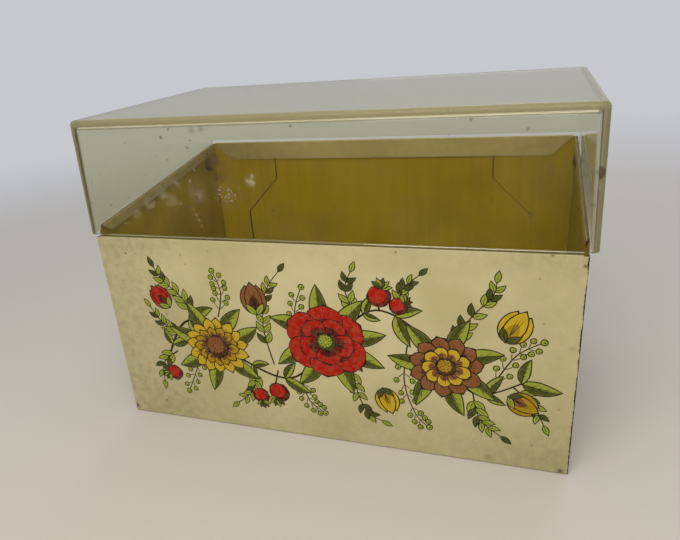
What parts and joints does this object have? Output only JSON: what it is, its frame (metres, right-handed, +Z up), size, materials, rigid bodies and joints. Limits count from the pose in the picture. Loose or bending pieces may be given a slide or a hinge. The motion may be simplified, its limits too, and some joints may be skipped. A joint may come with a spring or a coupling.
{
  "type": "index card tin with hinged lid",
  "caption": "Desk-top tin for 3 by 5 inch index cards: a folded sheet-metal box with hemmed rims and a clear moulded lid that swings back on side rivets.",
  "frame": {"origin": "on the surface that the tin stands on, under the middle of its overall width and depth", "axes": "+X to the right along the long front, +Y from the front to the hinged back, +Z up"},
  "size_m": [0.1384, 0.0781, 0.0946],
  "materials": {
    "printed_tinplate": "cream lithographed tinplate, mustard lacquer inside",
    "clear_polystyrene": "clear injection-moulded polystyrene, yellowed and scratched",
    "rivet_metal": "dull"
  },
  "bodies": {
    "tin": {"front_floor_back_wrap": "printed_tinplate", "left_end_panel": "printed_tinplate", "right_end_panel": "printed_tinplate"},
    "lid": {"clear_lid": "clear_polystyrene", "left_hinge_rivet": "rivet_metal", "right_hinge_rivet": "rivet_metal"}
  },
  "joints": [
    {"name": "lid_hinge", "type": "hinge", "parent": "tin", "child": "lid", "pos_m": [0, 0.0318, 0.0673], "axis": [-1, 0, 0], "range_deg": [0, 100]}
  ]
}
